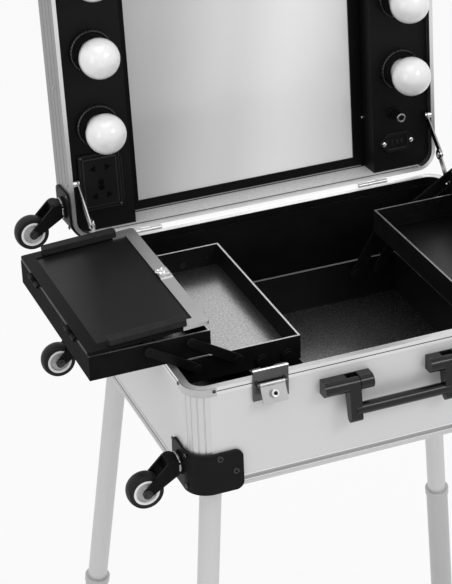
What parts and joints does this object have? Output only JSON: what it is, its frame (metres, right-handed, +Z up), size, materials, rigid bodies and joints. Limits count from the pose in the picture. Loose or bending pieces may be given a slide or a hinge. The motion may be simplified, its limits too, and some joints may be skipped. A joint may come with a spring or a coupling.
{
  "type": "makeup train case",
  "caption": "Rolling makeup train case on telescopic legs, with a lighted mirror lid, cantilever trays with flip covers, latches, folding handle and casters.",
  "frame": {"origin": "on the floor, under the middle of the outline seen from above", "axes": "+X to the case's right along its front wall, +Y to the back, +Z up"},
  "size_m": [0.7542, 0.565, 1.2437],
  "materials": {
    "black_board": "leather-grain black sheet",
    "black_lining": "fine ribbed foam-backed lining",
    "black_plastic": "moulded, fine texture",
    "black_steel": "black powder coat",
    "bright_aluminium": "satin anodised extrusion",
    "bulb_white": "opal",
    "chrome": "polished plate",
    "gloss_black": "smoked gloss sheet",
    "leg_metal": "satin tube",
    "mirror_glass": "silvered",
    "silver_panel": "textured silver laminate",
    "tyre_black": "smooth tread"
  },
  "bodies": {
    "case": {"wall_panels": "silver_panel", "corner_posts": "bright_aluminium", "top_rim": "bright_aluminium", "bottom_rail": "bright_aluminium", "floor_panel": "silver_panel", "lining": "black_lining", "tray_carrier": "black_board", "rim_corner_clips": "chrome", "handle_mounts": "black_plastic", "latch_plates": "chrome", "case_hinge_leaves": "chrome", "caster_brackets": "black_plastic", "leg_sockets": "black_plastic", "leg_tubes": "leg_metal", "case_stay_studs": "chrome"},
    "lid": {"lid_frame": "bright_aluminium", "lid_back_panel": "silver_panel", "mirror_frame": "black_plastic", "mirror": "mirror_glass", "lamp_panels": "black_plastic", "lamp_holders": "black_plastic", "lamp_bulbs": "bulb_white", "power_sockets": "black_plastic", "lid_hinge_leaves": "chrome", "lid_caster_brackets": "black_plastic", "lid_stay_studs": "chrome"},
    "stay_upper": {"stay_upper_arms": "chrome"},
    "stay_lower": {"stay_lower_arms": "chrome"},
    "left_lower_link_inner": {"left_lower_links_inner": "black_steel"},
    "left_lower_link_outer": {"left_lower_links_outer": "black_steel"},
    "left_tray_lower": {"left_lower_tray": "black_board"},
    "left_upper_link_inner": {"left_upper_links_inner": "black_steel"},
    "left_upper_link_outer": {"left_upper_links_outer": "black_steel"},
    "left_tray_upper": {"left_upper_tray": "black_board"},
    "left_cover": {"left_cover_frame": "bright_aluminium", "left_cover_panel": "gloss_black"},
    "right_lower_link_inner": {"right_lower_links_inner": "black_steel"},
    "right_lower_link_outer": {"right_lower_links_outer": "black_steel"},
    "right_tray_lower": {"right_lower_tray": "black_board"},
    "right_upper_link_inner": {"right_upper_links_inner": "black_steel"},
    "right_upper_link_outer": {"right_upper_links_outer": "black_steel"},
    "right_tray_upper": {"right_upper_tray": "black_board"},
    "right_cover": {"right_cover_frame": "bright_aluminium", "right_cover_panel": "gloss_black"},
    "left_latch": {"left_latch_flap": "chrome"},
    "right_latch": {"right_latch_flap": "chrome"},
    "handle": {"handle_grip": "black_plastic"},
    "front_case_caster_swivel": {"front_case_caster_fork": "black_plastic"},
    "front_case_caster_roller": {"front_case_caster_wheel": "tyre_black"},
    "rear_case_caster_swivel": {"rear_case_caster_fork": "black_plastic"},
    "rear_case_caster_roller": {"rear_case_caster_wheel": "tyre_black"},
    "lower_lid_caster_swivel": {"lower_lid_caster_fork": "black_plastic"},
    "lower_lid_caster_roller": {"lower_lid_caster_wheel": "tyre_black"},
    "upper_lid_caster_swivel": {"upper_lid_caster_fork": "black_plastic"},
    "upper_lid_caster_roller": {"upper_lid_caster_wheel": "tyre_black"},
    "front_left_leg": {"front_left_leg_sleeve": "leg_metal"},
    "front_right_leg": {"front_right_leg_sleeve": "leg_metal"},
    "rear_left_leg": {"rear_left_leg_sleeve": "leg_metal"},
    "rear_right_leg": {"rear_right_leg_sleeve": "leg_metal"},
    "dimmer": {"dimmer_knob": "black_plastic"}
  },
  "joints": [
    {"name": "lid_hinge", "type": "hinge", "parent": "case", "child": "lid", "pos_m": [-0.0185, 0.18885, 0.829], "axis": [1, 0, 0], "range_deg": [0, 17]},
    {"name": "stay_upper_pivot", "type": "hinge", "parent": "lid", "child": "stay_upper", "pos_m": [-0.0185, 0.20109, 0.90804], "axis": [1, 0, 0], "range_deg": [-26.11, 0]},
    {"name": "stay_lower_pivot", "type": "hinge", "parent": "case", "child": "stay_lower", "pos_m": [-0.0185, 0.13185, 0.842], "axis": [1, 0, 0], "range_deg": [0, 50.32]},
    {"name": "left_tray_fold", "type": "hinge", "parent": "case", "child": "left_lower_link_inner", "pos_m": [-0.0867, -0.02115, 0.74], "axis": [0, 1, 0], "range_deg": [0, 85.4]},
    {"name": "left_outer_link_swing", "type": "hinge", "parent": "case", "child": "left_lower_link_outer", "pos_m": [-0.1195, -0.02115, 0.74], "axis": [0, 1, 0], "range_deg": [0, 85.42]},
    {"name": "left_lower_tray_level", "type": "hinge", "parent": "left_lower_link_inner", "child": "left_tray_lower", "pos_m": [-0.12869, -0.02115, 0.8088], "axis": [0, 1, 0], "range_deg": [-85.42, 0]},
    {"name": "left_upper_link_swing", "type": "hinge", "parent": "left_tray_lower", "child": "left_upper_link_inner", "pos_m": [-0.1929, -0.02115, 0.821], "axis": [0, 1, 0], "range_deg": [0, 117.02]},
    {"name": "left_upper_outer_swing", "type": "hinge", "parent": "left_tray_lower", "child": "left_upper_link_outer", "pos_m": [-0.2445, -0.02115, 0.821], "axis": [0, 1, 0], "range_deg": [0, 117.02]},
    {"name": "left_upper_tray_level", "type": "hinge", "parent": "left_upper_link_inner", "child": "left_tray_upper", "pos_m": [-0.25062, -0.02115, 0.85637], "axis": [0, 1, 0], "range_deg": [-117.02, 0]},
    {"name": "left_cover_flip", "type": "hinge", "parent": "left_tray_upper", "child": "left_cover", "pos_m": [-0.3751, -0.02115, 0.86307], "axis": [0, -1, 0], "range_deg": [0, 85]},
    {"name": "right_tray_fold", "type": "hinge", "parent": "case", "child": "right_lower_link_inner", "pos_m": [0.0867, -0.02115, 0.74], "axis": [0, -1, 0], "range_deg": [0, 85.4]},
    {"name": "right_outer_link_swing", "type": "hinge", "parent": "case", "child": "right_lower_link_outer", "pos_m": [0.1195, -0.02115, 0.74], "axis": [0, -1, 0], "range_deg": [0, 85.42]},
    {"name": "right_lower_tray_level", "type": "hinge", "parent": "right_lower_link_inner", "child": "right_tray_lower", "pos_m": [0.12869, -0.02115, 0.8088], "axis": [0, -1, 0], "range_deg": [-85.42, 0]},
    {"name": "right_upper_link_swing", "type": "hinge", "parent": "right_tray_lower", "child": "right_upper_link_inner", "pos_m": [0.1734, -0.02115, 0.821], "axis": [0, -1, 0], "range_deg": [0, 117.02]},
    {"name": "right_upper_outer_swing", "type": "hinge", "parent": "right_tray_lower", "child": "right_upper_link_outer", "pos_m": [0.2074, -0.02115, 0.821], "axis": [0, -1, 0], "range_deg": [0, 117.02]},
    {"name": "right_upper_tray_level", "type": "hinge", "parent": "right_upper_link_inner", "child": "right_tray_upper", "pos_m": [0.23112, -0.02115, 0.85637], "axis": [0, -1, 0], "range_deg": [-117.02, 0]},
    {"name": "right_cover_flip", "type": "hinge", "parent": "right_tray_upper", "child": "right_cover", "pos_m": [0.3751, -0.02115, 0.86307], "axis": [0, 1, 0], "range_deg": [0, 85]},
    {"name": "left_latch_swing", "type": "hinge", "parent": "case", "child": "left_latch", "pos_m": [-0.1795, -0.23215, 0.822], "axis": [-1, 0, 0], "range_deg": [-22, 85]},
    {"name": "right_latch_swing", "type": "hinge", "parent": "case", "child": "right_latch", "pos_m": [0.1425, -0.23215, 0.822], "axis": [-1, 0, 0], "range_deg": [-22, 85]},
    {"name": "handle_swing", "type": "hinge", "parent": "case", "child": "handle", "pos_m": [-0.0185, -0.23535, 0.798], "axis": [-1, 0, 0], "range_deg": [0, 80]},
    {"name": "front_case_caster_turn", "type": "hinge", "parent": "case", "child": "front_case_caster_swivel", "pos_m": [-0.2815, -0.18915, 0.717], "axis": [1, 0, 0], "continuous": true},
    {"name": "front_case_caster_roll", "type": "hinge", "parent": "front_case_caster_swivel", "child": "front_case_caster_roller", "pos_m": [-0.3265, -0.18915, 0.691], "axis": [0, 1, 0], "continuous": true},
    {"name": "rear_case_caster_turn", "type": "hinge", "parent": "case", "child": "rear_case_caster_swivel", "pos_m": [-0.2815, 0.14685, 0.717], "axis": [1, 0, 0], "continuous": true},
    {"name": "rear_case_caster_roll", "type": "hinge", "parent": "rear_case_caster_swivel", "child": "rear_case_caster_roller", "pos_m": [-0.3265, 0.14685, 0.691], "axis": [0, 1, 0], "continuous": true},
    {"name": "lower_lid_caster_turn", "type": "hinge", "parent": "lid", "child": "lower_lid_caster_swivel", "pos_m": [-0.2815, 0.22457, 0.8668], "axis": [1, 0, 0], "continuous": true},
    {"name": "lower_lid_caster_roll", "type": "hinge", "parent": "lower_lid_caster_swivel", "child": "lower_lid_caster_roller", "pos_m": [-0.3265, 0.22457, 0.8408], "axis": [0, 1, 0], "continuous": true},
    {"name": "upper_lid_caster_turn", "type": "hinge", "parent": "lid", "child": "upper_lid_caster_swivel", "pos_m": [-0.2815, 0.24801, 1.20198], "axis": [1, 0, 0], "continuous": true},
    {"name": "upper_lid_caster_roll", "type": "hinge", "parent": "upper_lid_caster_swivel", "child": "upper_lid_caster_roller", "pos_m": [-0.3265, 0.24801, 1.17598], "axis": [0, 1, 0], "continuous": true},
    {"name": "front_left_leg_slide", "type": "slide", "parent": "case", "child": "front_left_leg", "axis": [-0.1097, -0.1097, -0.9879], "range_m": [-0.12, 0.08]},
    {"name": "front_right_leg_slide", "type": "slide", "parent": "case", "child": "front_right_leg", "axis": [0.1097, -0.1097, -0.9879], "range_m": [-0.12, 0.08]},
    {"name": "rear_left_leg_slide", "type": "slide", "parent": "case", "child": "rear_left_leg", "axis": [-0.1097, 0.1097, -0.9879], "range_m": [-0.12, 0.08]},
    {"name": "rear_right_leg_slide", "type": "slide", "parent": "case", "child": "rear_right_leg", "axis": [0.1097, 0.1097, -0.9879], "range_m": [-0.12, 0.08]},
    {"name": "dimmer_turn", "type": "hinge", "parent": "lid", "child": "dimmer", "pos_m": [0.1844, 0.20809, 0.91787], "axis": [0, -0.9976, 0.0698], "range_deg": [0, 270]}
  ],
  "couplings": [
    {"joint": "stay_upper_pivot", "follows": "lid_hinge", "ratio": -1.5346},
    {"joint": "stay_lower_pivot", "follows": "lid_hinge", "ratio": 2.9589},
    {"joint": "left_outer_link_swing", "follows": "left_tray_fold", "ratio": 1},
    {"joint": "left_lower_tray_level", "follows": "left_tray_fold", "ratio": -1},
    {"joint": "left_upper_link_swing", "follows": "left_tray_fold", "ratio": 1.37},
    {"joint": "left_upper_outer_swing", "follows": "left_tray_fold", "ratio": 1.37},
    {"joint": "left_upper_tray_level", "follows": "left_tray_fold", "ratio": -1.37},
    {"joint": "right_outer_link_swing", "follows": "right_tray_fold", "ratio": 1},
    {"joint": "right_lower_tray_level", "follows": "right_tray_fold", "ratio": -1},
    {"joint": "right_upper_link_swing", "follows": "right_tray_fold", "ratio": 1.37},
    {"joint": "right_upper_outer_swing", "follows": "right_tray_fold", "ratio": 1.37},
    {"joint": "right_upper_tray_level", "follows": "right_tray_fold", "ratio": -1.37}
  ]
}
